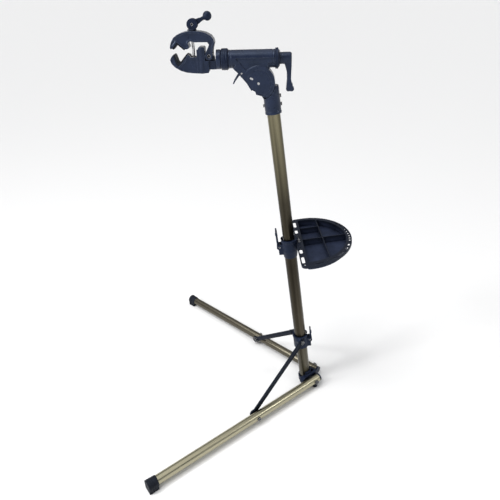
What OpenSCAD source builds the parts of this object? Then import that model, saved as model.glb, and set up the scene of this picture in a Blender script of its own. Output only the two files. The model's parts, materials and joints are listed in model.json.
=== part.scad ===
// Bicycle work stand: two folding legs, a telescoping mast, a tool tray and a tilting clamp head.
// Millimetres, +Z up, clamp side towards -X, left leg towards -Y.
// The origin is on the floor under the middle of the stand's bounding box.

/* [Mast] */
// Forward lean of the mast from vertical, degrees
mast_lean = 8.4; // [8.2:0.1:8.6]
// Outer diameter of the lower tube
lower_d = 38; // [38:0.1:38.2]
// Wall of the mast tubes
tube_wall = 1.5; // [1.3:0.1:1.6]
// Running gap between sliding tubes, on the radius
run_gap = 0.08; // [0.05:0.01:0.1]
// Distance along the mast to the top of the lower tube
lower_top = 590; // [585:1:595]
// Distance along the mast to the lower end of the upper tube
upper_low = 104; // [95:1:120]
// Distance along the mast to the upper end of the upper tube
upper_top = 1012; // [1011:0.5:1013]

/* [Legs] */
// Half of the angle between the legs, degrees
leg_spread = 39.3; // [38.8:0.1:39.8]
// Outer diameter of a leg tube
leg_d = 29; // [28.6:0.1:29]
// Distance along the leg from its rear end to the end of the tube
leg_len = 662; // [655:1:665]
// Distance from the rear end of the leg to the hub pivot
leg_pivot = 19; // [18:0.5:20]
// Distance from the rear end of the leg to the strut bolt
strut_at = 280; // [276:1:284]
// Downward slope of a leg towards its shoe, degrees
leg_slope = 0.39; // [0.3:0.01:0.45]

/* [Collars] */
// Distance along the mast to the lower face of the leg slider
slider_low = 169; // [167:1:171]
// Height of the leg slider
slider_h = 50; // [48:1:52]
// Distance along the mast to the lower face of the height collar
collar_low = 535; // [533:1:537]
// Distance along the mast to the upper face of the height collar
collar_top = 597; // [596:1:599]
// Outer radius of both collars
collar_r = 25; // [24.5:0.5:25.5]

/* [Tray] */
// Turn of the tray about the mast, degrees
tray_turn = 3.4; // [0:0.1:4]
// Distance along the mast to the tray's rim
tray_s = 582; // [580:1:583]
// Half of the tray's width
tray_half = 148; // [146:1:150]
// Reach of the tray's curved edge behind the mast axis
tray_reach = 188; // [186:1:190]
// Depth of the tray's basin
tray_depth = 22; // [20:1:24]

/* [Head] */
// Upward slope of the head's barrel towards the rear, degrees
head_slope = 1.5; // [1:0.1:2]
// Barrel outer radius
barrel_r = 21.5; // [21.3:0.1:21.7]
// Width of the clamp jaws
jaw_w = 34; // [33.5:0.5:34.5]

/* [Hidden] */
$fn = 64;
e = 0.01;

base_shift = 198.06;                   // from the mast foot to the middle of the footprint
lower_r = lower_d/2;
lower_bore = lower_r - tube_wall;
upper_r = lower_bore - run_gap;
upper_bore = upper_r - tube_wall;
leg_r = leg_d/2;
leg_bore = leg_r - 1.5;

// rear end of the left leg's centre line, relative to the mast foot
E = [40.2, -19.3, 28.2];
u = [-sin(mast_lean), 0, cos(mast_lean)];
n = [cos(mast_lean), 0, sin(mast_lean)];
d = [-cos(leg_spread)*cos(leg_slope), -sin(leg_spread)*cos(leg_slope), -sin(leg_slope)];
cr = cross(d, u);
N = cr/norm(cr);                       // leg pivot axis, towards the mast
leg_roll = asin(-N[2]);
vv = d - (d*u)*u;
v = vv/norm(vv);                       // across the mast, in the leg's fold plane
bm = atan2(v[1], v*n);
gap = -(E*N);                          // mast axis to the leg's fold plane
piv = E + d*leg_pivot;
piv_v = piv*v;  piv_s = piv*u;
pin = E + d*strut_at;
pin_v = pin*v;  pin_s = pin*u;
top_v = 17.4;                          // strut's upper pivot on the slider
top_s = slider_low + 37;
strut_len = norm([pin_v - top_v, pin_s - top_s]);
strut_psi = atan2(pin_s - top_s, pin_v - top_v);
strut_eye = 10;                        // oversize eye round the strut bolt: the fold's open pivot
flank = gap - leg_r - 0.3;             // plane just inside the leg's inner side

tilt_n = -28;                          // tilt pivot, across and along the mast
tilt_s = 1058.8;
barrel_z = 56;                         // barrel axis above the tilt pivot
tongue_t = 7;                          // half thickness of the socket's tongue
hinge_x = -121;  hinge_z = 66;         // jaw hinge in the head's frame
spin_x = -160;                         // clamp spindle
disc_x = -158;  disc_z = 136.5;        // handle's cross pivot
trig_x = -42;  trig_z = 24;            // trigger pivot
qr_n = 31;                             // lever pins, across the mast
slider_pin_s = slider_low + 27;
height_pin_s = 574;

black = [0.13, 0.15, 0.2];
bronze = [0.6, 0.56, 0.45];
steel = [0.75, 0.75, 0.76];
rubber = [0.06, 0.06, 0.07];

// ---- frames ----
module world() translate([base_shift, 0, 0]) children();
module mast() world() rotate([0, -mast_lean, 0]) children();
module leg_frame() world() translate(E) rotate([leg_roll, leg_slope, 180 + leg_spread]) children();
module level_frame() world() translate(E) rotate([0, 0, 180 + leg_spread]) children();
module fold_frame() mast() rotate([0, 0, bm]) children();
module strut_frame() fold_frame() translate([top_v, 0, top_s]) rotate([0, -strut_psi, 0]) children();
module tray_frame() mast() rotate([0, 0, tray_turn]) translate([0, 0, tray_s]) children();
module head() mast() translate([tilt_n, 0, tilt_s]) rotate([0, mast_lean - head_slope, 0]) children();
module right() mirror([0, 1, 0]) children();

// ---- helpers ----
module ycyl(r, y0, y1) translate([0, y0, 0]) rotate([-90, 0, 0]) cylinder(r = r, h = y1 - y0);
module xcyl(r, x0, x1) translate([x0, 0, 0]) rotate([0, 90, 0]) cylinder(r = r, h = x1 - x0);
module slab(y0, y1) translate([0, y1, 0]) rotate([90, 0, 0]) linear_extrude(height = y1 - y0) children();
module box(x0, x1, y0, y1, z0, z1) translate([x0, y0, z0]) cube([x1 - x0, y1 - y0, z1 - z0]);
module tube_at(r, s0, s1) translate([0, 0, s0]) cylinder(r = r, h = s1 - s0, $fn = 96);

// ---- mast ----
module lower_tube() color(bronze) mast() difference() {
  tube_at(lower_r, 12, lower_top);
  tube_at(lower_bore, 11, lower_top + 1);
  box(-30, 0, -6, 6, height_pin_s - 8, height_pin_s + 8);
}
module upper_tube() color(bronze) mast() difference() {
  tube_at(upper_r, upper_low, upper_top);
  tube_at(upper_bore, upper_low - 1, upper_top + 1);
  translate([0, 0, 998]) xcyl(3, -30, 30);
}
module tube_foot_bush() color(rubber) mast() {
  tube_at(upper_r, upper_low - 6, upper_low);
  tube_at(upper_bore, upper_low - e, upper_low + 16);
}

// ---- hub ----
module hub_plate() rotate([0, 0, bm]) {
  box(-14, 22, 12, flank, 12, 42);
  box(-31, -13, 20.8, flank, 22, 42);
  translate([22, 0, 27]) intersection() {
    ycyl(15, 12, flank);
    box(0, 20, 0, 40, -15, 15);
  }
}
module base_hub() color(black) mast() difference() {
  union() {
    tube_at(24, 8, 30);
    intersection() {
      tube_at(23.5, 29, 54);
      box(2, 40, -40, 40, 0, 80);
    }
    hub_plate();
    mirror([0, 1, 0]) hub_plate();
  }
  tube_at(lower_r, 12, 80);
  for (m = [0, 1]) mirror([0, m, 0]) rotate([0, 0, bm])
    translate([piv_v, 0, piv_s]) ycyl(4, 21, 60);
}
module pivot_bolt() fold_frame() translate([piv_v, 0, piv_s]) difference() {
  union() {
    ycyl(4, 21, gap + leg_r + 0.5);
    ycyl(8, gap + leg_r + 0.3, gap + leg_r + 4.3);
  }
  translate([0, gap + leg_r + 2, 0]) rotate([-90, 0, 0]) cylinder(r = 3.5, h = 4, $fn = 6);
}
module leg_pivot_bolts() color(rubber) { pivot_bolt(); right() pivot_bolt(); }

// ---- legs ----
module leg() color(bronze) leg_frame() difference() {
  xcyl(leg_r, 0, leg_len);
  xcyl(leg_bore, -1, leg_len + 1);
  translate([leg_pivot, 0, 0]) ycyl(6.5, -20, 20);
  translate([strut_at, 0, 0]) ycyl(4, -20, 20);
  translate([strut_at - 44, 0, 0]) ycyl(2, -20, 0);
}
module leg_bush() color(steel) leg_frame() translate([leg_pivot, 0, 0]) difference() {
  ycyl(6.5, -leg_r, leg_r);
  ycyl(4 + run_gap, -20, 20);
}
module leg_plug() color(rubber) leg_frame() {
  xcyl(leg_r, -6, 0);
  xcyl(leg_bore, -e, 10);
}
module rear_foot() color(rubber) difference() {
  level_frame() union() {
    translate([15, 3, -E[2]]) cylinder(r1 = 9, r2 = 10, h = 4);
    translate([15, 3, 4 - E[2]]) cylinder(r = 10, h = 16);
  }
  leg_frame() xcyl(leg_r, -20, 60);
}
module shoe() color(rubber) difference() {
  union() {
    leg_frame() translate([645, 0, 0]) rotate([0, 90, 0]) cylinder(r1 = 16, r2 = 18, h = 32);
    level_frame() box(647, 677, -16, 16, -E[2], -8);
  }
  leg_frame() xcyl(leg_r, 600, leg_len);
  level_frame() box(600, 700, -40, 40, -E[2] - 20, -E[2]);
}
module strut_bolt() color(rubber) leg_frame() {
  translate([strut_at, 0, 0]) difference() {
    union() {
      ycyl(4, -leg_r - 9.5, leg_r);
      ycyl(12, -leg_r - 7.4, -leg_r - 5.6);
      translate([0, -leg_r - 10.4, 0]) rotate([-90, 0, 0]) cylinder(r = 7, h = 3.2, $fn = 6);
      ycyl(6.5, leg_r - 1.5, leg_r + 3);
    }
    translate([0, leg_r + 0.5, 0]) rotate([-90, 0, 0]) cylinder(r = 3, h = 4, $fn = 6);
  }
  translate([strut_at - 44, 0, 0]) ycyl(2, -leg_r, -leg_bore + 3);
  translate([strut_at - 44, 0, 0]) ycyl(3.5, -leg_bore, -leg_bore + 2);
}
module leg_left() leg();
module leg_right() right() leg();
module leg_bush_left() leg_bush();
module leg_bush_right() right() leg_bush();
module leg_plug_left() leg_plug();
module leg_plug_right() right() leg_plug();
module rear_foot_left() rear_foot();
module rear_foot_right() right() rear_foot();
module shoe_left() shoe();
module shoe_right() right() shoe();
module strut_bolt_left() strut_bolt();
module strut_bolt_right() right() strut_bolt();

// ---- struts ----
module strut() color(black) strut_frame() difference() {
  union() {
    ycyl(10, flank - 5, flank);
    box(0, 58, flank - 5, flank, -10, 10);
    box(57, strut_len, flank - 5, flank, -9, 9);
    box(46, strut_len - 30, flank - 8, flank, -4, 4);
    translate([strut_len, 0, 0]) ycyl(13, flank - 5, flank);
  }
  ycyl(4 + run_gap, 0, 60);
  translate([strut_len, 0, 0]) ycyl(strut_eye, 0, 60);
}
module strut_left() strut();
module strut_right() right() strut();
module top_bolt() fold_frame() translate([top_v, 0, top_s]) difference() {
  union() {
    ycyl(4, 13.5, flank + 0.6);
    ycyl(7, flank + 0.3, flank + 4);
  }
  translate([0, flank + 1.5, 0]) rotate([-90, 0, 0]) cylinder(r = 3, h = 4, $fn = 6);
}
module strut_top_bolts() color(steel) { top_bolt(); right() top_bolt(); }

// ---- cam lever parts, built with the pin on the mast's +X side ----
module ears(s) {
  for (m = [0, 1]) mirror([0, m, 0]) {
    translate([qr_n, 0, s]) ycyl(8, 8, 12);
    box(14, qr_n, 8, 12, s - 17, s + 8);
    box(14, qr_n + 3, 8, 12, s - 24, s - 6);
  }
  box(14, qr_n + 3, -12, 12, s - 26, s - 17);
}
module ears_cut(s) {
  translate([qr_n, 0, s]) ycyl(3, -20, 20);
  box(14, 60, -8, 8, s - 17, s + 40);
}
module cam_pad(s, r) difference() {
  box(r - 3, 21.5, -5.7, 5.7, s - 6.7, s + 6.7);
  tube_at(r, s - 20, s + 20);
}
module cam_pin(s) translate([qr_n, 0, s]) ycyl(3, -12, 12);
module cam_lever(s, len) translate([qr_n, 0, s]) difference() {
  union() {
    ycyl(8, -7.6, 7.6);
    slab(-7.6, 7.6) polygon([[0, 0], [1.2, 14], [1.6, len - 16], [2.4, len - 2], [4.4, len], [7, len - 1], [7.2, len - 14], [7, 12], [8, 0]]);
    translate([7.2, 0, len - 18]) ycyl(1.6, -7.6, 7.6);
  }
  ycyl(3 + run_gap, -20, 20);
}

// ---- leg slider ----
module slider_lug() rotate([0, 0, bm]) {
  box(-2, top_v, 8, flank - 5.3, top_s - 11, top_s + 11);
  translate([top_v, 0, top_s]) ycyl(11, 8, flank - 5.3);
}
module leg_slider() color(black) mast() difference() {
  union() {
    tube_at(collar_r, slider_low, slider_low + slider_h);
    tube_at(collar_r + 1.5, slider_low + slider_h - 7, slider_low + slider_h);
    slider_lug();
    mirror([0, 1, 0]) slider_lug();
    ears(slider_pin_s);
  }
  tube_at(lower_r + run_gap, 0, 400);
  for (m = [0, 1]) mirror([0, m, 0]) rotate([0, 0, bm]) {
    box(5.5, 60, flank - 5.3, 60, 100, 300);
    translate([top_v, 0, top_s]) ycyl(4, 13.5, 60);
  }
  ears_cut(slider_pin_s);
  box(10, 40, -6, 6, slider_pin_s - 7, slider_pin_s + 7);
}
module slider_pad() color(rubber) mast() cam_pad(slider_pin_s, lower_r + run_gap);
module slider_lever() color(black) mast() cam_lever(slider_pin_s, 46);
module slider_lever_pin() color(steel) mast() cam_pin(slider_pin_s);

// ---- height collar ----
module front() mirror([1, 0, 0]) children();
module height_collar() color(black) mast() difference() {
  union() {
    tube_at(collar_r, 560, collar_top);
    translate([0, 0, collar_low]) cylinder(r1 = 20.6, r2 = collar_r, h = 25 + e, $fn = 96);
    tube_at(collar_r + 1.5, collar_top - 7, collar_top);
    translate([-21.5, 0, collar_top - 1]) cylinder(r = 2.6, h = 10);
    rotate([0, 0, tray_turn]) box(15, 38, -12, 12, tray_s - 24, tray_s - 2.5);
    front() ears(height_pin_s);
  }
  tube_at(lower_r, 500, lower_top);
  tube_at(lower_bore, lower_top - 1, 620);
  front() ears_cut(height_pin_s);
  box(-40, -10, -6, 6, height_pin_s - 7, height_pin_s + 7);
  for (y = [-6, 6]) rotate([0, 0, tray_turn]) translate([31, y, tray_s - 16]) cylinder(r = 1.6, h = 30);
}
module height_pad() color(rubber) mast() front() cam_pad(height_pin_s, lower_bore);
module height_lever() color(black) mast() front() cam_lever(height_pin_s, 60);
module height_lever_pin() color(steel) mast() front() cam_pin(height_pin_s);

// ---- tool tray ----
tray_c = 55;
flat_n = 21;                           // chord edge of the tray, behind the mast axis
function dee(a, b1, b2, flat, r) = concat(
  [for (t = [-90:5:90]) [tray_c + a*cos(t), (t > 0 ? b2 : b1)*sin(t)]],
  [for (t = [90:15:180]) [flat + r + r*cos(t), b2 - r + r*sin(t)]],
  [for (t = [180:15:270]) [flat + r + r*cos(t), -b1 + r + r*sin(t)]]);
module rim_slot(t, len, w) translate([tray_c + (tray_reach - tray_c - 6.5)*cos(t), (tray_half - 7.5)*sin(t), 0])
  rotate([0, 0, atan2((tray_half - 7.5)*cos(t), -(tray_reach - tray_c - 6.5)*sin(t))]) slot(len, w);
module slot(len, w) translate([0, 0, -10]) linear_extrude(height = 20) {
  square([len - w, w], center = true);
  for (k = [-1, 1]) translate([k*(len - w)/2, 0]) circle(d = w, $fn = 24);
}
module tool_tray() color(black) tray_frame() difference() {
  union() {
    difference() {
      union() {
        translate([0, 0, -2.5]) linear_extrude(height = 2.5)
          polygon(dee(tray_reach - tray_c, tray_half, tray_half, flat_n, 14));
        translate([0, 0, -7]) linear_extrude(height = 7) difference() {
          polygon(dee(tray_reach - tray_c, tray_half, tray_half, flat_n, 14));
          polygon(dee(tray_reach - tray_c - 2.5, tray_half - 2.5, tray_half - 2.5, flat_n + 2.5, 11.5));
        }
        translate([0, 0, -tray_depth - 2.5]) linear_extrude(height = tray_depth + 2)
          polygon(dee(tray_reach - tray_c - 13.5, tray_half - 20.5, tray_half - 10.5, 38.5, 8));
      }
      translate([0, 0, -tray_depth]) linear_extrude(height = tray_depth + 5)
        polygon(dee(tray_reach - tray_c - 16, tray_half - 23, tray_half - 13, 41, 6));
    }
    intersection() {
      translate([0, 0, -tray_depth - 1]) linear_extrude(height = tray_depth + 0.2)
        polygon(dee(tray_reach - tray_c - 15, tray_half - 22, tray_half - 12, 40, 7));
      union() {
        translate([103, 0, -50]) rotate([0, 0, 1.5]) box(-1.2, 1.2, -200, 200, 0, 50);
        box(30, 200, 5.8, 8.2, -50, 0);
        box(30, 103, 79.8, 82.2, -50, 0);
      }
    }
  }
  translate([0, 0, -60]) cylinder(r = collar_r, h = 80, $fn = 96);
  for (k = [-1, 1]) {
    translate([29, k*110, 0]) rotate([0, 0, 90]) slot(36, 9);
    translate([29, k*62, 0]) rotate([0, 0, 90]) slot(24, 9);
    for (y = [23, 38]) translate([30.5, k*y, 0]) slot(5.02, 5);
    translate([31.5, k*137, 0]) slot(6.02, 6);
    for (t = [3, 8.5, 14]) rim_slot(k*t, 8, 6);
    rim_slot(k*34, 16, 6);
    rim_slot(k*25, 12, 6);
  }
  for (t = [82, 65, 48]) rim_slot(-t, 30, 7);
  box(15, 38.2, -12.3, 12.3, -30, -2.5);
  for (y = [-6, 6]) translate([31, y, -20]) cylinder(r = 1.6, h = 30);
}
module tray_screws() color(steel) tray_frame() for (y = [-6, 6]) translate([31, y, 0]) difference() {
  union() {
    translate([0, 0, -16]) cylinder(r = 1.6, h = 16.5);
    cylinder(r = 3.4, h = 2.2);
  }
  translate([0, 0, 1]) cylinder(r = 1.5, h = 4, $fn = 6);
}

// ---- socket on top of the mast ----
module mast_socket() color(black) {
  mast() difference() {
    union() {
      tube_at(21.4, 976, 1046);
      tube_at(22, 976, 981);
      intersection() {
        translate([tilt_n, 0, tilt_s]) slab(-tongue_t, tongue_t)
          polygon([[0, 0], [-4, -14], [2, -32], [9.5, -48], [44, -48], [47, -24], [14.5, -3]]);
        box(-60, 20, -20, 20, 1000, 1080);
      }
      translate([tilt_n, 0, tilt_s]) ycyl(15, -tongue_t, tongue_t);
    }
    translate([tilt_n, 0, tilt_s]) for (m = [0, 1]) mirror([0, m, 0]) ycyl(42.4, tongue_t, 40);
    tube_at(upper_r, 970, upper_top);
    translate([tilt_n, 0, tilt_s]) ycyl(6 + run_gap, -40, 40);
    translate([0, 0, 998]) xcyl(3, -40, 40);
    translate([0, 0, 1019]) xcyl(3, 8, 40);
    for (k = [0:4]) translate([tilt_n, 0, tilt_s]) rotate([0, 180 - 10 + k*15 - 6.9, 0])
      box(12.6, 20, -20, 20, -1.1, 1.1);
  }
}
module socket_screws() color(rubber) mast() {
  translate([0, 0, 998]) difference() {
    union() {
      xcyl(3, -23, 22);
      xcyl(4.6, 21.4, 25);
      translate([-24.6, 0, 0]) rotate([0, 90, 0]) cylinder(r = 4.2, h = 3.2, $fn = 6);
    }
    difference() {
      tube_at(21.4, -30, 30);
      xcyl(3, -40, 40);
    }
  }
  translate([0, 0, 1019]) {
    xcyl(3, 9, 21.6);
    xcyl(4.6, 21.4, 25);
  }
}

// ---- tilting head ----
cheek_pts = concat(
  [[-57, 44], [-63, 36], [-53, 27], [-30, 1], [-23, -11], [-18, -18], [-16, -16], [-9, -20], [-7, -27], [3, -30], [12, -32]],
  [for (t = [-60:4:56]) 41.5*[cos(t), sin(t)]],
  [[24, 42], [24, 50], [-57, 50]]);
module head_body() color(black) head() difference() {
  union() {
    translate([0, 0, barrel_z]) xcyl(barrel_r, -74, 42);
    slab(-20, 20) polygon(cheek_pts);
    slab(-15, 15) polygon([[-60, 50], [-60, 38], [-20, 20], [20, 26], [31, 38], [31, 50]]);
  }
  translate([0, 0, barrel_z]) xcyl(16, -80, 50);
  // gap between the cheeks for the socket's tongue
  ycyl(15.5, -tongue_t - 0.4, tongue_t + 0.4);
  slab(-tongue_t - 0.4, tongue_t + 0.4) polygon([[0, 6], [16, 5], [60, 4], [60, -60], [-50, -60], [-48, -21], [-31, -8.5], [-17, 1.5], [-10, 6]]);
  ycyl(6, -17, 17);
  ycyl(3, -40, 40);
  // pockets for the detent inserts
  for (m = [0, 1]) mirror([0, m, 0]) translate([-17.5, 0, 12]) rotate([0, 25, 0]) slab(16, 30) {
    square([4, 4.4], center = true);
    for (k = [-1, 1]) translate([k*2, 0]) circle(d = 4.4, $fn = 24);
  }
  // trigger cavity
  slab(-5.4, 5.4) polygon([[-51, 33], [-33, 33], [-31, 18], [-12, 8], [-12, -14], [-32, -24], [-70, 10], [-70, 26]]);
  translate([trig_x, 0, trig_z]) ycyl(2.5, -40, 40);
}
module barrel_bushes() color(steel) head() translate([0, 0, barrel_z]) for (x = [-74, 22]) difference() {
  xcyl(16, x, x + 20);
  xcyl(11 + run_gap, x - 1, x + 21);
}
module front_collar() color(black) head() translate([0, 0, barrel_z]) difference() {
  union() {
    xcyl(25.5, -90, -77);
    translate([-77, 0, 0]) rotate([0, 90, 0]) cylinder(r1 = 25.5, r2 = 22.5, h = 3);
    translate([-92, 0, 0]) rotate([0, 90, 0]) cylinder(r1 = 24, r2 = 25.5, h = 2);
  }
  xcyl(12, -93, -70);
}
module rear_cap() color(black) head() translate([0, 0, barrel_z]) difference() {
  union() {
    xcyl(24.5, 42, 49);
    translate([49, 0, 0]) rotate([0, 90, 0]) cylinder(r1 = 22.5, r2 = 18, h = 4);
  }
  xcyl(12, 41, 54);
}
module tilt_bolt() color(steel) head() {
  ycyl(6, -17, 17);
  ycyl(3, -20.6, 20.6);
}
module detent_insert() color(steel) head() for (m = [0, 1]) mirror([0, m, 0])
  translate([-17.5, 0, 12]) rotate([0, 25, 0]) slab(16, 20.2) {
    square([4, 4.4], center = true);
    for (k = [-1, 1]) translate([k*2, 0]) circle(d = 4.4, $fn = 24);
  }
module tilt_trigger() color(black) head() translate([trig_x, 0, trig_z]) difference() {
  union() {
    ycyl(5, -5, 5);
    slab(-5, 5) polygon([[-3, -4], [-9, -10], [-17, -20], [-21, -27], [-24, -26], [-20, -17], [-13, -6], [-5, 3], [2, 4], [4, 0]]);
    slab(-5, 5) polygon([[-4, -2], [6, -17], [20, -24.2], [26.3, -22.8], [26.3, -21.1], [21, -19], [8, -11], [4, 2]]);
  }
  ycyl(2.5 + run_gap, -20, 20);
  for (m = [0, 1]) mirror([0, m, 0]) difference() {
    ycyl(7, 2.6, 6);
    ycyl(3.4, 0, 8);
  }
}
module trigger_pin() color(steel) head() translate([trig_x, 0, trig_z]) ycyl(2.5, -15, 15);
module trigger_spring() color(steel) head() translate([trig_x, 0, trig_z]) rotate([90, 0, 0])
  for (k = [-1, 1]) translate([0, 0, k*4.1]) rotate_extrude() translate([4.35, 0]) circle(r = 0.6, $fn = 24);

// ---- clamp ----
module clamp_shaft() color(steel) head() translate([0, 0, barrel_z]) {
  xcyl(11, -103, 53);
  xcyl(8, 52, 73);
  xcyl(4, 72, 79);
}
module clamp_flange() color(black) head() translate([0, 0, barrel_z]) difference() {
  union() {
    xcyl(23, -104.3, -94);
    translate([-94, 0, 0]) rotate([0, 90, 0]) cylinder(r1 = 23, r2 = 22, h = 1.7);
  }
  xcyl(11, -103, -90);
}
low_pts = [[-209, 71], [-214, 66], [-218, 59], [-215, 50], [-206, 41], [-193, 33.5], [-178, 29], [-160, 27], [-143, 26],
  [-124, 27], [-121, 34.5], [-104.3, 34.5], [-104.3, 55.5], [-130.8, 55.5], [-130.8, 84], [-134, 87], [-144, 87],
  [-147, 84], [-147, 81], [-151, 81], [-151, 64], [-167, 64], [-168.5, 68], [-172.5, 70.5], [-193, 46.5], [-199, 43.5], [-204, 50]];
module lower_jaw() color(black) head() difference() {
  union() {
    slab(-jaw_w/2, jaw_w/2) polygon(low_pts);
    slab(-9, 9) polygon([[-135, 50], [-108, 50], [-108, 62], [-114, 73], [-128, 73], [-135, 66]]);
    for (m = [0, 1]) mirror([0, m, 0]) translate([-139, 11, 26]) cylinder(r = 8, h = 60);
  }
  translate([hinge_x, 0, hinge_z]) ycyl(4, -30, 30);
  box(-171.5, -150.5, -5.6, 5.6, 33, 100);
  for (m = [0, 1]) mirror([0, m, 0]) box(-122, -100, 13, 30, 20, 60);
}
module lower_pad() color(rubber) head() difference() {
  slab(-jaw_w/2 + 1, jaw_w/2 - 1) polygon([[-209, 71], [-204, 50], [-199, 43.5], [-193, 46.5], [-172.5, 70.5], [-176.5, 71.5],
    [-192, 54.5], [-196.5, 50.5], [-199.5, 54], [-205, 70.5]]);
}
module jaw_pin() color(steel) head() translate([hinge_x, 0, hinge_z]) {
  ycyl(4, -17.5, 17.5);
}
up_pts = [[-213.5, 83.5], [-215.5, 86.5], [-213.5, 94], [-210.5, 101], [-205, 109], [-197, 114.5], [-185, 119], [-170, 122], [-155, 122.6],
  [-140, 121.5], [-126, 118], [-114, 111.5], [-107.5, 103.5], [-106, 95], [-109, 86], [-111.3, 76], [-111.3, 66], [-114, 59.5],
  [-121, 56.3], [-128, 59.5], [-130.5, 66], [-128.5, 74], [-122, 86], [-119, 92], [-123, 97.5], [-155, 98], [-163, 100], [-168.5, 98.5],
  [-170.5, 94.5], [-168, 89], [-168.5, 85], [-173, 82.8], [-178, 82.8], [-197.5, 99], [-210, 84.5]];
module upper_jaw() color(black) head() difference() {
  slab(-jaw_w/2, jaw_w/2) polygon(up_pts);
  translate([hinge_x, 0, hinge_z]) ycyl(4 + run_gap, -30, 30);
  box(-140, -100, -9.3, 9.3, 40, 96);
  translate([spin_x, 0, 0]) cylinder(r = 3.4 + run_gap, h = 200);
}
module upper_pad() color(rubber) head() slab(-jaw_w/2 + 1, jaw_w/2 - 1)
  polygon([[-210, 84.5], [-197.5, 99], [-178, 82.8], [-181, 80.4], [-197, 93.6], [-206.6, 82]]);
module clamp_spindle() color(steel) head() translate([spin_x, 0, 0]) {
  translate([0, 0, 44]) cylinder(r = 3.4, h = 81);
  translate([0, 0, 44]) cylinder(r = 5, h = 7);
}
module handle_fork() color(black) head() translate([spin_x, 0, 0]) difference() {
  union() {
    translate([0, 0, 122.9]) cylinder(r = 11.5, h = 2.1);
    translate([0, 0, 122.9]) cylinder(r = 8.6, h = 6);
    translate([disc_x - spin_x, 0, disc_z]) ycyl(13, -9.5, 9.5);
  }
  translate([disc_x - spin_x, 0, disc_z]) {
    ycyl(11, -5.3, 5.3);
    ycyl(3, -20, 20);
  }
  box(-30, 30, -5.3, 5.3, 128.5, 180);
  translate([0, 0, 100]) cylinder(r = 3.4, h = 25.3);
}
module handle_pin() color(steel) head() translate([disc_x, 0, disc_z]) ycyl(3, -9.5, 9.5);
module clamp_handle() color(black) head() translate([disc_x, 0, disc_z]) difference() {
  union() {
    ycyl(10.6, -5, 5);
    rotate([0, -24.7, 0]) {
      slab(-4.4, 4.4) polygon([[0, -8], [16, -6], [26, -4], [26, 4], [16, 6], [0, 9]]);
      xcyl(4.3, 14, 41);
      translate([41, 0, 0]) rotate([0, 90, 0]) rotate_extrude() intersection() {
        circle(r = 10.6);
        translate([0, -10.4]) square([20, 20.8]);
      }
    }
  }
  ycyl(3 + run_gap, -20, 20);
}

// ---- rear crank ----
module rear_crank() color(black) head() difference() {
  union() {
    translate([0, 0, barrel_z]) xcyl(14, 53.3, 79);
    translate([79, 0, barrel_z]) rotate([0, 90, 0]) cylinder(r1 = 14, r2 = 11.5, h = 3.5);
    intersection() {
      slab(-14, 14) {
        polygon([[63, 58], [64, 46], [68, 34], [71, 22], [71.5, 6], [70.5, -6], [69.5, -12], [87, -12], [84, -4], [82, 6], [82, 22], [82.5, 34], [82.5, 58]]);
        translate([75.8, -17]) circle(r = 6.6);
        translate([83.2, -17]) circle(r = 6.6);
        translate([71, -14]) square([15, 10]);
      }
      rotate([0, 0, 90]) slab(-95, -50)
        polygon([[-12, 60], [-8, 24], [-6, 6], [-8.5, -8], [-8.5, -20], [-5, -24], [5, -24], [8.5, -20], [8.5, -8], [6, 6], [8, 24], [12, 60]]);
    }
  }
  translate([0, 0, barrel_z]) xcyl(8 + run_gap, 50, 73.3);
  translate([0, 0, barrel_z]) xcyl(4 + run_gap, 60, 90);
  translate([0, 0, barrel_z]) xcyl(9, 77, 90);
}
module crank_nut() color(steel) head() translate([0, 0, barrel_z]) difference() {
  translate([77.3, 0, 0]) rotate([0, 90, 0]) cylinder(r = 7.5, h = 4.2, $fn = 6);
  xcyl(4, 70, 79);
}

lower_tube();
upper_tube();
tube_foot_bush();
base_hub();
leg_pivot_bolts();
leg_left();
leg_right();
leg_bush_left();
leg_bush_right();
leg_plug_left();
leg_plug_right();
rear_foot_left();
rear_foot_right();
shoe_left();
shoe_right();
strut_bolt_left();
strut_bolt_right();
strut_left();
strut_right();
strut_top_bolts();
leg_slider();
slider_pad();
slider_lever();
slider_lever_pin();
height_collar();
height_pad();
height_lever();
height_lever_pin();
tool_tray();
tray_screws();
mast_socket();
socket_screws();
tilt_bolt();
detent_insert();
head_body();
barrel_bushes();
front_collar();
rear_cap();
tilt_trigger();
trigger_pin();
trigger_spring();
clamp_shaft();
clamp_flange();
lower_jaw();
lower_pad();
jaw_pin();
upper_jaw();
upper_pad();
clamp_spindle();
handle_fork();
handle_pin();
clamp_handle();
rear_crank();
crank_nut();
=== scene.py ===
import bpy
import bmesh
import json
import math
import numpy as np
from mathutils import Vector, Matrix


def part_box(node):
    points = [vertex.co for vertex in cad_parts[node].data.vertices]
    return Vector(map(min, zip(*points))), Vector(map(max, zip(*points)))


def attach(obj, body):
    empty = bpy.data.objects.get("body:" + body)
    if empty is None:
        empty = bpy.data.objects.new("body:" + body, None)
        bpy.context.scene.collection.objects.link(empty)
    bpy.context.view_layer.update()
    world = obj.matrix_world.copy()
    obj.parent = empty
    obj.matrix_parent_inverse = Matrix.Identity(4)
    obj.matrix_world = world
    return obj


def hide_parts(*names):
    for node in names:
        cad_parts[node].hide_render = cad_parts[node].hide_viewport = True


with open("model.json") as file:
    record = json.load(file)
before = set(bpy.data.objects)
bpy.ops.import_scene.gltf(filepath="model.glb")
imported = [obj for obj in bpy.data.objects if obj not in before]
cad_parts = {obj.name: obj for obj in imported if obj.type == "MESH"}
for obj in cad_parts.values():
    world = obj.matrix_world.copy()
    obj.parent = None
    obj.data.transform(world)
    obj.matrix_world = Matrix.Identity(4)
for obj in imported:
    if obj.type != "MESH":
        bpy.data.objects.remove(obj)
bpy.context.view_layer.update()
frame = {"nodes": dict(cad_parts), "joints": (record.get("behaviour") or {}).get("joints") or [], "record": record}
nodes = frame["nodes"]
joints = {j["name"]: j for j in frame["joints"]}
BODY = {n: b for b, names in frame["record"]["behaviour"]["bodies"].items() for n in names}
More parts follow.
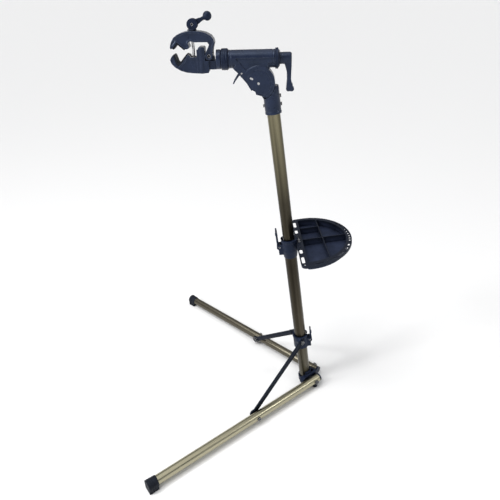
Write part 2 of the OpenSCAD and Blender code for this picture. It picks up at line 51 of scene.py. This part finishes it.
SIDES = ("left", "right")
scene = bpy.context.scene

# The stand faces -x, in metres. Names ending in _MM and the carving of cast pieces are in millimetres.
TUBE_R = 0.019          # lower mast tube
TUBE_START = 0.012      # its lower end, up the mast from the mast's foot
SHOE_DEPTH = 0.02       # half the length of a front shoe
BARREL_Z_MM = 56.0      # barrel axis over the tilt pivot
BARREL_R_MM = 22.5
DISC_R_MM = 41.5        # round part of the head's cheeks


# ---------------------------------------------------------------- frames
def vec(values):
    return Vector([float(x) for x in values])


def middle(node):
    """Centre of a CAD node's box."""
    lo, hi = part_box(node)
    return (vec(lo) + vec(hi)) / 2


def frame_matrix(origin, x_axis, z_axis):
    """Matrix of a frame with that origin, its x along x_axis and its z along z_axis."""
    x, z = x_axis.normalized(), z_axis.normalized()
    y = z.cross(x).normalized()
    m = Matrix((x, y, z)).transposed().to_4x4()
    m.translation = origin
    return m


def strut_frame(side):
    """A strut's frame: origin at its upper pivot, x to its lower bolt, y outwards. Also its length in mm."""
    pivot = joints[side + "_strut_swing"]
    pin, axis = vec(pivot["pos_m"]), vec(pivot["axis"]).normalized()
    along = middle("strut_bolt_" + side) - pin
    along -= along.dot(axis) * axis
    x = along.normalized()
    out = axis if (axis.y > 0) == (side == "right") else -axis
    return frame_matrix(pin, x, x.cross(out).normalized()), along.length * 1000


def leg_axis(side):
    return (middle("shoe_" + side) - middle("leg_plug_" + side)).normalized()


UP = vec(joints["mast_height"]["axis"]).normalized()
LEAN = math.atan2(-UP.x, UP.z)
TUBE_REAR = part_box("lower_tube")[1][0]
FOOT = Vector((TUBE_REAR - TUBE_R * math.cos(LEAN) + TUBE_START * math.sin(LEAN), 0, 0))
MAST = frame_matrix(FOOT, Vector((math.cos(LEAN), 0, math.sin(LEAN))), UP)
BARREL_X = vec(joints["clamp_turn"]["axis"]).normalized()
HEAD = frame_matrix(vec(joints["head_tilt"]["pos_m"]), BARREL_X, Vector((-BARREL_X.z, 0, BARREL_X.x)))
FLOOR_UP = Vector((0, 0, 1))
LEG_AXIS = {side: leg_axis(side) for side in SIDES}


# ---------------------------------------------------------------- shader nodes
def put(tree, socket, value):
    """Links a socket to another one, or sets its own value."""
    if isinstance(value, bpy.types.NodeSocket):
        tree.links.new(value, socket)
    else:
        socket.default_value = value


def add(tree, kind, inputs, **settings):
    """A new node of that kind, with its settings made and its inputs put in."""
    n = tree.nodes.new(kind)
    for key, value in settings.items():
        setattr(n, key, value)
    for key, value in inputs.items():
        put(tree, n.inputs[key], value)
    return n


def rgba(colour):
    return (*colour, 1)


def tone(colour, factor):
    return [c * factor for c in colour]


def coords(tree, scale=(1, 1, 1), matrix=None):
    """Object coordinates in metres or, with a matrix, the coordinates in its frame times scale."""
    plain = tree.nodes.new("ShaderNodeTexCoord").outputs["Object"]
    if matrix is None:
        return plain
    inputs = {"Vector": plain, "Rotation": matrix.to_euler(), "Location": matrix.translation,
              "Scale": [1.0 / s for s in scale]}
    return add(tree, "ShaderNodeMapping", inputs, vector_type="TEXTURE").outputs["Vector"]


def height_in(tree, matrix):
    """The z coordinate in a frame, in metres."""
    return add(tree, "ShaderNodeSeparateXYZ", {0: coords(tree, (1, 1, 1), matrix)}).outputs["Z"]


def noise(tree, vector, scale, detail=3.0, rough=0.5):
    inputs = {"Vector": vector, "Scale": scale, "Detail": detail, "Roughness": rough}
    return add(tree, "ShaderNodeTexNoise", inputs).outputs["Fac"]


def ramp(tree, fac, stops):
    """A colour ramp through (place, colour) stops."""
    n = add(tree, "ShaderNodeValToRGB", {"Fac": fac})
    elements = n.color_ramp.elements
    while len(elements) < len(stops):
        elements.new(0.5)
    for element, (place, colour) in zip(elements, stops):
        element.position = place
        element.color = rgba(colour)
    return n.outputs["Color"]


def remap(tree, value, source, target):
    """Takes the range source to the range target, and clamps."""
    inputs = {"Value": value, "From Min": source[0], "From Max": source[1],
              "To Min": target[0], "To Max": target[1]}
    return add(tree, "ShaderNodeMapRange", inputs).outputs["Result"]


def mix(tree, fac, a, b, blend="MIX"):
    """Colour a where fac is 0, and b, or the blend of both, where it is 1."""
    inputs = {0: fac, 6: a, 7: b}
    return add(tree, "ShaderNodeMix", inputs, data_type="RGBA", blend_type=blend).outputs[2]


def multiply(tree, a, b):
    return add(tree, "ShaderNodeMath", {0: a, 1: b}, operation="MULTIPLY").outputs[0]


def edge_mask(tree, radius=0.0009):
    """1 along sharp edges: where the rounded normal leaves the true one."""
    bevel = add(tree, "ShaderNodeBevel", {"Radius": radius}, samples=4)
    geometry = tree.nodes.new("ShaderNodeNewGeometry")
    inputs = {0: bevel.outputs["Normal"], 1: geometry.outputs["Normal"]}
    gap = add(tree, "ShaderNodeVectorMath", inputs, operation="DISTANCE").outputs["Value"]
    return remap(tree, gap, (0.03, 0.22), (0.0, 1.0))


def bump(tree, bsdf, height, strength, distance):
    inputs = {"Height": height, "Strength": strength, "Distance": distance}
    put(tree, bsdf.inputs["Normal"], add(tree, "ShaderNodeBump", inputs).outputs["Normal"])


# ---------------------------------------------------------------- materials
BLUE_SHEEN = (0.62, 0.76, 1.0)      # the blacks reflect bluish
# Reach of the painted shade in corners, in metres.
PAINTED_SHADE_REACH = 0.012
WORN_TUBE = (0.55, 0.53, 0.46)
WORN_STEEL = (0.85, 0.85, 0.86)


def new_material(name):
    m = bpy.data.materials.new(name)
    m.use_nodes = True
    return m, m.node_tree, m.node_tree.nodes["Principled BSDF"]


def black_finish(name, base, worn, rough, grain, depth, wear_and_highlight=0.35, specular=0.5, rim_shade=None):
    """Black plastic, rubber or enamel: clouded colour, grain, worn edges that partly stand in for edge highlights,
    and painted shade in the corners.

    grain is the scale of its bumps and depth their height. The last argument is (from, to, factor), a painted
    shade:
    up the mast between these two heights the colour fades to factor times the base.
    """
    m, tree, bsdf = new_material(name)
    v = coords(tree)
    colour = ramp(tree, noise(tree, v, 38, 4), [(0.3, tone(base, 0.82)), (0.7, tone(base, 1.25))])
    # Painted shade: between the two heights up the mast the colour fades darker towards the top.
    if rim_shade:
        fade = remap(tree, height_in(tree, MAST), rim_shade[:2], (0.0, 1.0))
        colour = mix(tree, fade, colour, rgba(tone(base, rim_shade[2])))
    # Lighter worn colour on edges in random patches: partly real wear, partly a painted edge highlight.
    edge_wear_and_highlight = remap(tree, noise(tree, v, 160, 4), (0.4, 0.65), (0.0, wear_and_highlight))
    colour = mix(tree, multiply(tree, edge_mask(tree), edge_wear_and_highlight), colour, rgba(worn))
    # Painted shade: where ambient occlusion finds corners, creases and gaps between parts, the colour darkens to
    # 0.3 times the base.
    corner = add(tree, "ShaderNodeAmbientOcclusion", {"Distance": PAINTED_SHADE_REACH}, samples=4).outputs["AO"]
    painted_shade = remap(tree, corner, (0.35, 0.95), (0.85, 0.0))
    put(tree, bsdf.inputs["Base Color"], mix(tree, painted_shade, colour, rgba(tone(base, 0.3))))
    gloss = remap(tree, noise(tree, v, 90, 3), (0.3, 0.7), (rough - 0.06, rough + 0.08))
    put(tree, bsdf.inputs["Roughness"], gloss)
    bsdf.inputs["Specular IOR Level"].default_value = specular
    bsdf.inputs["Specular Tint"].default_value = rgba(BLUE_SHEEN)
    bump(tree, bsdf, noise(tree, v, grain, 2, 0.6), 0.35, depth)
    return m


def anodised(name, matrix, base, streak, stops=None):
    """Satin anodised tube along z of its frame: drawn lines, broad streaks, handling marks, worn rims.

    stops change its colour along z, where the studio is reflected lighter and darker.
    """
    m, tree, bsdf = new_material(name)
    lines = noise(tree, coords(tree, (900, 900, 6), matrix), 1.0, 3, 0.7)
    broad = noise(tree, coords(tree, (75, 75, 1.3), matrix), 1.0, 2, 0.5)
    colour = ramp(tree, broad, [(0.34, tone(base, 1 - streak)), (0.5, base), (0.66, tone(base, 1 + streak))])
    if stops:
        along = ramp(tree, height_in(tree, matrix), stops)
        colour = mix(tree, 1.0, colour, along, "MULTIPLY")
    scuff = remap(tree, noise(tree, coords(tree), 120, 5, 0.65), (0.6, 0.78), (0.0, 0.25))
    colour = mix(tree, scuff, colour, rgba(tone(base, 0.6)))
    colour = mix(tree, edge_mask(tree, 0.0006), colour, rgba(WORN_TUBE))
    put(tree, bsdf.inputs["Base Color"], colour)
    bsdf.inputs["Metallic"].default_value = 1.0
    put(tree, bsdf.inputs["Roughness"], remap(tree, lines, (0.3, 0.7), (0.22, 0.36)))
    bump(tree, bsdf, lines, 0.08, 0.0004)
    return m


def steel(name, base=(0.62, 0.62, 0.63), rough=0.28):
    """Bare metal with a mottled tone and brighter edges."""
    m, tree, bsdf = new_material(name)
    v = coords(tree)
    colour = ramp(tree, noise(tree, v, 260, 4), [(0.35, tone(base, 0.8)), (0.7, base)])
    put(tree, bsdf.inputs["Base Color"], mix(tree, edge_mask(tree), colour, rgba(WORN_STEEL)))
    bsdf.inputs["Metallic"].default_value = 1.0
    gloss = remap(tree, noise(tree, v, 420, 3), (0.3, 0.7), (rough - 0.08, rough + 0.14))
    put(tree, bsdf.inputs["Roughness"], gloss)
    bump(tree, bsdf, noise(tree, v, 900, 2), 0.12, 0.0002)
    return m


# An anodised leg whose base tone is painted light: it says how brightly that leg is lit.
def leg_metal_painted_light(side, base):
    matrix = frame_matrix(Vector(), FLOOR_UP.cross(LEG_AXIS[side]), LEG_AXIS[side])
    return anodised("anodised_leg_" + side, matrix, base, 0.2)


# Painted shade on the tray's top rim: from 0.567 m to 0.577 m up the mast the colour fades to 0.3 times the base.
TRAY_RIM_SHADE = (0.567, 0.577, 0.3)
# Painted reflections along the mast: lighter near its foot and top, darker in between, multiplied into its colour.
MAST_PAINTED_REFLECTIONS = [(0.0, (0.62, 0.61, 0.6)), (0.22, (0.29, 0.262, 0.24)), (0.5, (0.142, 0.129, 0.119)),
              (0.72, (0.225, 0.208, 0.19)), (1.0, (1.1, 1.05, 0.85))]
MAT = {
    "plastic": black_finish("black_plastic", (0.0075, 0.0115, 0.027), (0.07, 0.085, 0.14), rough=0.38,
                            grain=1500, depth=0.0003, wear_and_highlight=0.4, specular=0.2),
    "tray": black_finish("tray_plastic", (0.017, 0.0225, 0.044), (0.05, 0.06, 0.085), rough=0.46,
                         grain=800, depth=0.0005, specular=0.3, rim_shade=TRAY_RIM_SHADE),
    "cast": black_finish("cast_black", (0.0115, 0.0165, 0.036), (0.16, 0.19, 0.28), rough=0.3,
                         grain=900, depth=0.0003, wear_and_highlight=0.5, specular=0.36),
    "strut": black_finish("strut_black", (0.0035, 0.0055, 0.012), (0.06, 0.07, 0.1), rough=0.42,
                          grain=1200, depth=0.0003, wear_and_highlight=0.4, specular=0.14),
    "rubber": black_finish("rubber", (0.009, 0.010, 0.014), (0.03, 0.03, 0.034), rough=0.62,
                           grain=1200, depth=0.0005, wear_and_highlight=0.5, specular=0.2),
    "bush": black_finish("bush_plastic", (0.05, 0.05, 0.052), (0.12, 0.12, 0.12), rough=0.5,
                         grain=900, depth=0.0003),
    "blued": steel("black_steel", (0.035, 0.037, 0.045), 0.34),
    "steel": steel("steel"),
    "bronze": steel("bush_metal", (0.56, 0.42, 0.2), 0.4),
    # Mast and legs share one anodised finish; their different bases are painted light: the left leg lit lighter,
    # the right leg shaded darker, the mast in between.
    "mast": anodised("anodised_mast", MAST, (0.2, 0.19, 0.15), 0.4, MAST_PAINTED_REFLECTIONS),
    "leg_left": leg_metal_painted_light("left", (0.41, 0.385, 0.272)),
    "leg_right": leg_metal_painted_light("right", (0.128, 0.116, 0.088)),
}
FINISHES = {
    "mast": "lower_tube upper_tube",
    "leg_left": "leg_left",
    "leg_right": "leg_right",
    "plastic": "base_hub leg_plug_left leg_plug_right leg_slider slider_lever height_collar height_lever "
               "front_collar rear_cap handle_fork clamp_handle",
    "tray": "tool_tray",
    "cast": "mast_socket head_body tilt_trigger clamp_flange lower_jaw upper_jaw rear_crank",
    "strut": "strut_left strut_right",
    "rubber": "rear_foot_left rear_foot_right shoe_left shoe_right lower_pad upper_pad",
    "bush": "tube_foot_bush slider_pad height_pad",
    "blued": "leg_pivot_bolts strut_bolt_left strut_bolt_right strut_top_bolts slider_lever_pin "
             "height_lever_pin socket_screws jaw_pin handle_pin",
    "steel": "leg_bush_left leg_bush_right tray_screws tilt_bolt detent_insert trigger_pin trigger_spring "
             "clamp_shaft clamp_spindle crank_nut",
    "bronze": "barrel_bushes",
}
FINISH = {node: MAT[finish] for finish, names in FINISHES.items() for node in names.split()}

# ---------------------------------------------------------------- CAD nodes: material and softened edges
EDGE = 0.0005
SOFT_EDGE = {
    0.0025: "shoe_left shoe_right",
    0.0022: "head_body",
    0.0020: "lower_jaw upper_jaw",
    0.0018: "rear_crank",
    0.0012: "mast_socket base_hub leg_slider height_collar",
    0.0011: "slider_lever height_lever",
    0.0009: "strut_left strut_right",
    0.0007: "tool_tray",
    0.0003: "lower_tube upper_tube leg_left leg_right",
}
EDGE_OF = {node: width for width, names in SOFT_EDGE.items() for node in names.split()}


def paint(obj, material):
    obj.data.materials.clear()
    obj.data.materials.append(material)


def smooth(mesh):
    for poly in mesh.polygons:
        poly.use_smooth = True


for name, obj in nodes.items():
    paint(obj, FINISH[name])
    smooth(obj.data)
    bevel = obj.modifiers.new("soft_edges", "BEVEL")
    bevel.width = EDGE_OF.get(name, EDGE)
    bevel.segments = 2
    bevel.limit_method = "ANGLE"
    bevel.angle_limit = math.radians(28)
    bevel.harden_normals = True


# ---------------------------------------------------------------- carving, in millimetres and always inwards
def carve(obj, matrix, depth_mm):
    """Sinks each vertex along its normal by depth_mm(x, y, z, n), all in the given frame."""
    me = obj.data
    co, no = (np.empty(len(me.vertices) * 3, np.float32) for _ in range(2))
    me.vertices.foreach_get("co", co)
    me.vertex_normals.foreach_get("vector", no)
    co, no = co.reshape(-1, 3).astype(float), no.reshape(-1, 3).astype(float)
    inv = np.array(matrix.inverted())
    x, y, z = ((co @ inv[:3, :3].T + inv[:3, 3]) * 1000.0).T
    depth = depth_mm(x, y, z, no @ inv[:3, :3].T)
    co -= no * (depth[:, None] / 1000.0)
    me.vertices.foreach_set("co", co.astype(np.float32).ravel())
    me.update()


def groove(t, centre, width, depth):
    """A rounded groove of that width and depth at t = centre."""
    return depth * np.clip(1 - ((t - centre) / (width / 2)) ** 2, 0, 1)


def recess(t, start, depth, slope=0.8):
    """Sinks by depth where t is past start."""
    return depth * np.clip((t - start) / slope, 0, 1)


def across(n, axis, limit=0.5):
    """True where the surface faces away from that axis (0, 1 or 2), as on the outside of a tube along it."""
    return abs(n[:, axis]) < limit


def flank(n, limit=0.7):
    """True on the flat sides, which face along y."""
    return abs(n[:, 1]) > limit


def inside(x, z, points):
    """Distance from (x, z) to the outline, positive inside it."""
    best = np.full(x.shape, 1e9)
    odd = np.zeros(x.shape, bool)
    for (x0, z0), (x1, z1) in zip(points, points[1:] + points[:1]):
        ex, ez = x1 - x0, z1 - z0
        t = np.clip(((x - x0) * ex + (z - z0) * ez) / (ex * ex + ez * ez), 0, 1)
        best = np.minimum(best, np.hypot(x - x0 - t * ex, z - z0 - t * ez))
        cross = (z0 > z) != (z1 > z)
        with np.errstate(divide="ignore", invalid="ignore"):
            odd ^= cross & (x < x0 + (z - z0) * ex / (ez if ez else 1e-9))
    return np.where(odd, best, -best)


# Outlines of the head's cheeks and of both jaws, in x and z of the HEAD frame.
CHEEK = [(-57, 44), (-63, 36), (-53, 27), (-30, 1), (-23, -11), (-18, -18), (-16, -16), (-9, -20),
         (-7, -27), (3, -30), (12, -32)]
CHEEK += [(DISC_R_MM * math.cos(math.radians(t)), DISC_R_MM * math.sin(math.radians(t)))
          for t in range(-60, 60, 8)]
CHEEK += [(24, 42), (24, 60), (-57, 60)]
UPPER = [(-213.5, 83.5), (-215.5, 86.5), (-213.5, 94), (-210.5, 101), (-205, 109), (-197, 114.5),
         (-185, 119), (-170, 122), (-155, 122.6), (-140, 121.5), (-126, 118), (-114, 111.5),
         (-107.5, 103.5), (-106, 95), (-109, 86), (-111.3, 76), (-111.3, 66), (-114, 59.5),
         (-121, 56.3), (-128, 59.5), (-130.5, 66), (-128.5, 74), (-122, 86), (-119, 92),
         (-123, 97.5), (-155, 98), (-163, 100), (-168.5, 98.5), (-170.5, 94.5), (-168, 89),
         (-168.5, 85), (-173, 82.8), (-178, 82.8), (-197.5, 99), (-210, 84.5)]
LOWER = [(-209, 71), (-214, 66), (-218, 59), (-215, 50), (-206, 41), (-193, 33.5), (-178, 29),
         (-160, 27), (-147, 26.5), (-147, 64), (-167, 64), (-168.5, 68), (-172.5, 70.5),
         (-193, 46.5), (-199, 43.5), (-204, 50)]


def head_detail(x, y, z, n):
    """Rings round the barrel's ends and, on each cheek, an edge line, a dial, a front seam and a sunk web."""
    off_axis = abs(np.hypot(y, z - BARREL_Z_MM) - BARREL_R_MM)
    rings = np.maximum(groove(x, -68, 1.8, 0.8), groove(x, 36, 1.8, 0.8)) * (off_axis < 1.5) * across(n, 0)
    from_edge, from_pivot = inside(x, z, CHEEK), np.hypot(x, z)
    edge_line = groove(from_edge, 4.2, 1.8, 0.9) * (z < 40)
    dial = groove(from_pivot, 31, 1.8, 0.8) * (from_edge > 6)
    seam = groove((x + 63) * 0.744 + (z - 36) * 0.668, 12.5, 1.6, 0.8) * (z > 8) * (z < 38)
    behind_seam = np.clip((x + 30 + (z - 30) * 0.9) / 1.2, 0, 1)
    web = recess(from_pivot, DISC_R_MM, 2.2, 1.2) * behind_seam * (z > 6) * (z < 60)
    cheeks = np.maximum(np.maximum(np.maximum(edge_line, dial), seam), web)
    return rings + flank(n, 0.8) * (abs(y) > 18) * cheeks


def upper_detail(x, y, z, n):
    return flank(n) * recess(inside(x, z, UPPER), 3.6, 1.0)


def lower_detail(x, y, z, n):
    return flank(n) * (abs(y) > 15) * recess(inside(x, z, LOWER), 3.8, 0.9)


def collar_detail(x, y, z, n):
    return np.maximum(groove(x, -80.5, 1.6, 0.9), groove(x, -87, 1.6, 0.9)) * across(n, 0, 0.6)


def cap_detail(x, y, z, n):
    return groove(x, 45.5, 1.5, 0.7) * across(n, 0, 0.6)


def crank_detail(x, y, z, n):
    """A ring round the crank's hub, and a sunk panel along both faces of its arm."""
    hub = groove(x, 59, 1.5, 0.7) * across(n, 0, 0.6) * (z > 40)
    panel = (abs(n[:, 0]) > 0.75) * (z > -6) * (z < 38) * recess(4.0 - abs(y), 0.0, 0.8)
    return hub + panel


def height_collar_detail(x, y, z, n):
    """Thumb ribs every 12 degrees round the collar's top ring, and a groove round its lower end."""
    turn = np.degrees(np.arctan2(y, x)) / 12.0
    ribs = np.clip(np.abs((turn % 1.0) - 0.5) * 4 - 1, 0, 1)
    r = np.hypot(x, y)
    return (0.7 * ribs * (z > 605) * (r > 22) + groove(z, 566, 1.6, 0.7) * (r > 20) * (r < 27)) * across(n, 2)


def socket_detail(x, y, z, n):
    outside = (np.hypot(x, y) > 19) * across(n, 2)
    return (groove(z, 984, 1.6, 0.7) + groove(z, 1026, 1.6, 0.7) * (x < 17)) * outside


def shoe_detail(x, y, z, n):
    """Three soft bands round a shoe, back from its tip."""
    return sum(groove(z, -t, 3.0, 1.1) for t in (9.0, 16.0, 23.0)) * across(n, 2)


def strut_detail(length):
    """A pressed channel along the outer face, between the strut's two eyes."""
    def detail(x, y, z, n):
        between = np.clip(np.minimum(x - 12, length - 18 - x) / 3.0, 0, 1)
        return 0.9 * between * np.clip((5.6 - abs(z)) / 1.0, 0, 1) * (n[:, 1] > 0.7)
    return detail


DETAIL = {
    "head_body": (HEAD, head_detail), "upper_jaw": (HEAD, upper_detail), "lower_jaw": (HEAD, lower_detail),
    "front_collar": (HEAD, collar_detail), "rear_cap": (HEAD, cap_detail),
    "rear_crank": (HEAD, crank_detail), "height_collar": (MAST, height_collar_detail),
    "mast_socket": (MAST, socket_detail),
}
for side in SIDES:
    matrix, length = strut_frame(side)
    DETAIL["strut_" + side] = (matrix, strut_detail(length))
    axis = LEG_AXIS[side]
    tip = middle("shoe_" + side) + axis * SHOE_DEPTH
    DETAIL["shoe_" + side] = (frame_matrix(tip, FLOOR_UP.cross(axis), axis), shoe_detail)


# ---------------------------------------------------------------- cast and moulded pieces
CASTS = {       # node: (voxel of its remesh, rounds of smoothing)
    "head_body": (0.0008, 4), "lower_jaw": (0.0007, 4), "upper_jaw": (0.0007, 4),
    "mast_socket": (0.0008, 4), "rear_crank": (0.0007, 6), "base_hub": (0.0011, 3),
    "leg_slider": (0.0010, 3), "height_collar": (0.0008, 2), "strut_left": (0.0008, 2),
    "strut_right": (0.0008, 2), "shoe_left": (0.0009, 22), "shoe_right": (0.0009, 22),
    "clamp_handle": (0.0007, 6), "handle_fork": (0.0007, 2), "tilt_trigger": (0.0006, 3),
    "slider_lever": (0.0006, 4), "height_lever": (0.0006, 4), "front_collar": (0.0008, 2),
    "rear_cap": (0.0008, 2), "clamp_flange": (0.0009, 3), "lower_pad": (0.0008, 2),
    "upper_pad": (0.0008, 2),
}


def moulded(node, voxel, rounds):
    """Replaces a CAD solid by a closed copy: remeshed and smoothed, so its edges look cast, then carved."""
    obj = bpy.data.objects.new(node + "_cast", nodes[node].data.copy())
    scene.collection.objects.link(obj)
    remesh = obj.modifiers.new("remesh", "REMESH")
    remesh.mode = "VOXEL"
    remesh.voxel_size = voxel * 1.0
    soften = obj.modifiers.new("soften", "SMOOTH")
    soften.factor = 0.5
    soften.iterations = rounds
    evaluated = obj.evaluated_get(bpy.context.evaluated_depsgraph_get())
    baked = bpy.data.meshes.new_from_object(evaluated)
    obj.modifiers.clear()
    obj.data = baked
    if node in DETAIL:
        carve(obj, *DETAIL[node])
    smooth(baked)
    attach(obj, BODY[node])
    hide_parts(node)
    paint(obj, FINISH[node])


for node, (voxel, rounds) in CASTS.items():
    moulded(node, voxel, rounds)


# ---------------------------------------------------------------- stage
FLOOR_HALF = 400        # so wide that its edge is at the horizon
FLOOR_GREY = 0.83
SKY = [     # (height of the direction, colour): white at the horizon and overhead, dark in between
    (0.0, (1.28, 1.28, 1.29)), (0.25, (1.26, 1.26, 1.27)), (0.35, (0.15, 0.155, 0.17)),
    (0.62, (0.15, 0.155, 0.17)), (0.8, (1.25, 1.25, 1.25)), (1.0, (1.75, 1.75, 1.75))]
SKY_STRENGTH = 0.66
SUN_ENERGY, SUN_SOFTNESS, SUN_TOWARDS = 1.75, 35, (0.45, 0.25, -1)
SOFTBOXES = [   # (name, place, height aimed at, size, power)
    ("softbox_left", (-1.9, -1.0, 1.9), 0.95, 0.45, 30),
    ("softbox_right", (1.8, -0.5, 1.7), 0.8, 0.4, 5)]
CAMERA_FROM_FOOT = (-0.164, -1.225, 1.269)
CAMERA_AZIMUTH, CAMERA_ELEVATION = math.radians(1.9), math.radians(30.5)
LENS_MM, SENSOR_MM = 33.1, 36.0


def put_in_scene(name, data):
    obj = bpy.data.objects.new(name, data)
    scene.collection.objects.link(obj)
    return obj


def aim(obj, direction):
    """Turns a lamp or camera to look along direction."""
    obj.rotation_mode = "QUATERNION"
    obj.rotation_quaternion = Vector(direction).to_track_quat("-Z", "Y")


mesh = bpy.data.meshes.new("floor")
grid = bmesh.new()
bmesh.ops.create_grid(grid, x_segments=1, y_segments=1, size=FLOOR_HALF)
grid.to_mesh(mesh)
grid.free()
floor = put_in_scene("floor", mesh)
pale, _, bsdf = new_material("pale_floor")
bsdf.inputs["Base Color"].default_value = rgba([FLOOR_GREY] * 3)
bsdf.inputs["Roughness"].default_value = 0.7
bsdf.inputs["Specular IOR Level"].default_value = 0.2
paint(floor, pale)

scene.world = bpy.data.worlds.new("studio")
scene.world.use_nodes = True
studio = scene.world.node_tree
direction = studio.nodes.new("ShaderNodeTexCoord").outputs["Generated"]
height = add(studio, "ShaderNodeSeparateXYZ", {0: direction}).outputs["Z"]
background = studio.nodes["Background"]
put(studio, background.inputs["Color"], ramp(studio, height, SKY))
background.inputs["Strength"].default_value = SKY_STRENGTH

sun = bpy.data.lights.new("soft_sun", "SUN")
sun.energy = SUN_ENERGY
sun.angle = math.radians(SUN_SOFTNESS)
aim(put_in_scene("soft_sun", sun), SUN_TOWARDS)
for name, place, aim_height, size, power in SOFTBOXES:
    softbox = bpy.data.lights.new(name, "AREA")
    softbox.energy = power
    softbox.size = size
    obj = put_in_scene(name, softbox)
    obj.location = place
    aim(obj, Vector((0, 0, aim_height)) - Vector(place))

lens = bpy.data.cameras.new("camera")
lens.sensor_width, lens.lens = SENSOR_MM, LENS_MM
lens.clip_start, lens.clip_end = 0.02, 1000
cam = put_in_scene("camera", lens)
cam.location = FOOT + Vector(CAMERA_FROM_FOOT)
aim(cam, (-math.sin(CAMERA_AZIMUTH) * math.cos(CAMERA_ELEVATION),
          math.cos(CAMERA_AZIMUTH) * math.cos(CAMERA_ELEVATION), -math.sin(CAMERA_ELEVATION)))
scene.camera = cam
scene.view_settings.view_transform = "Standard"
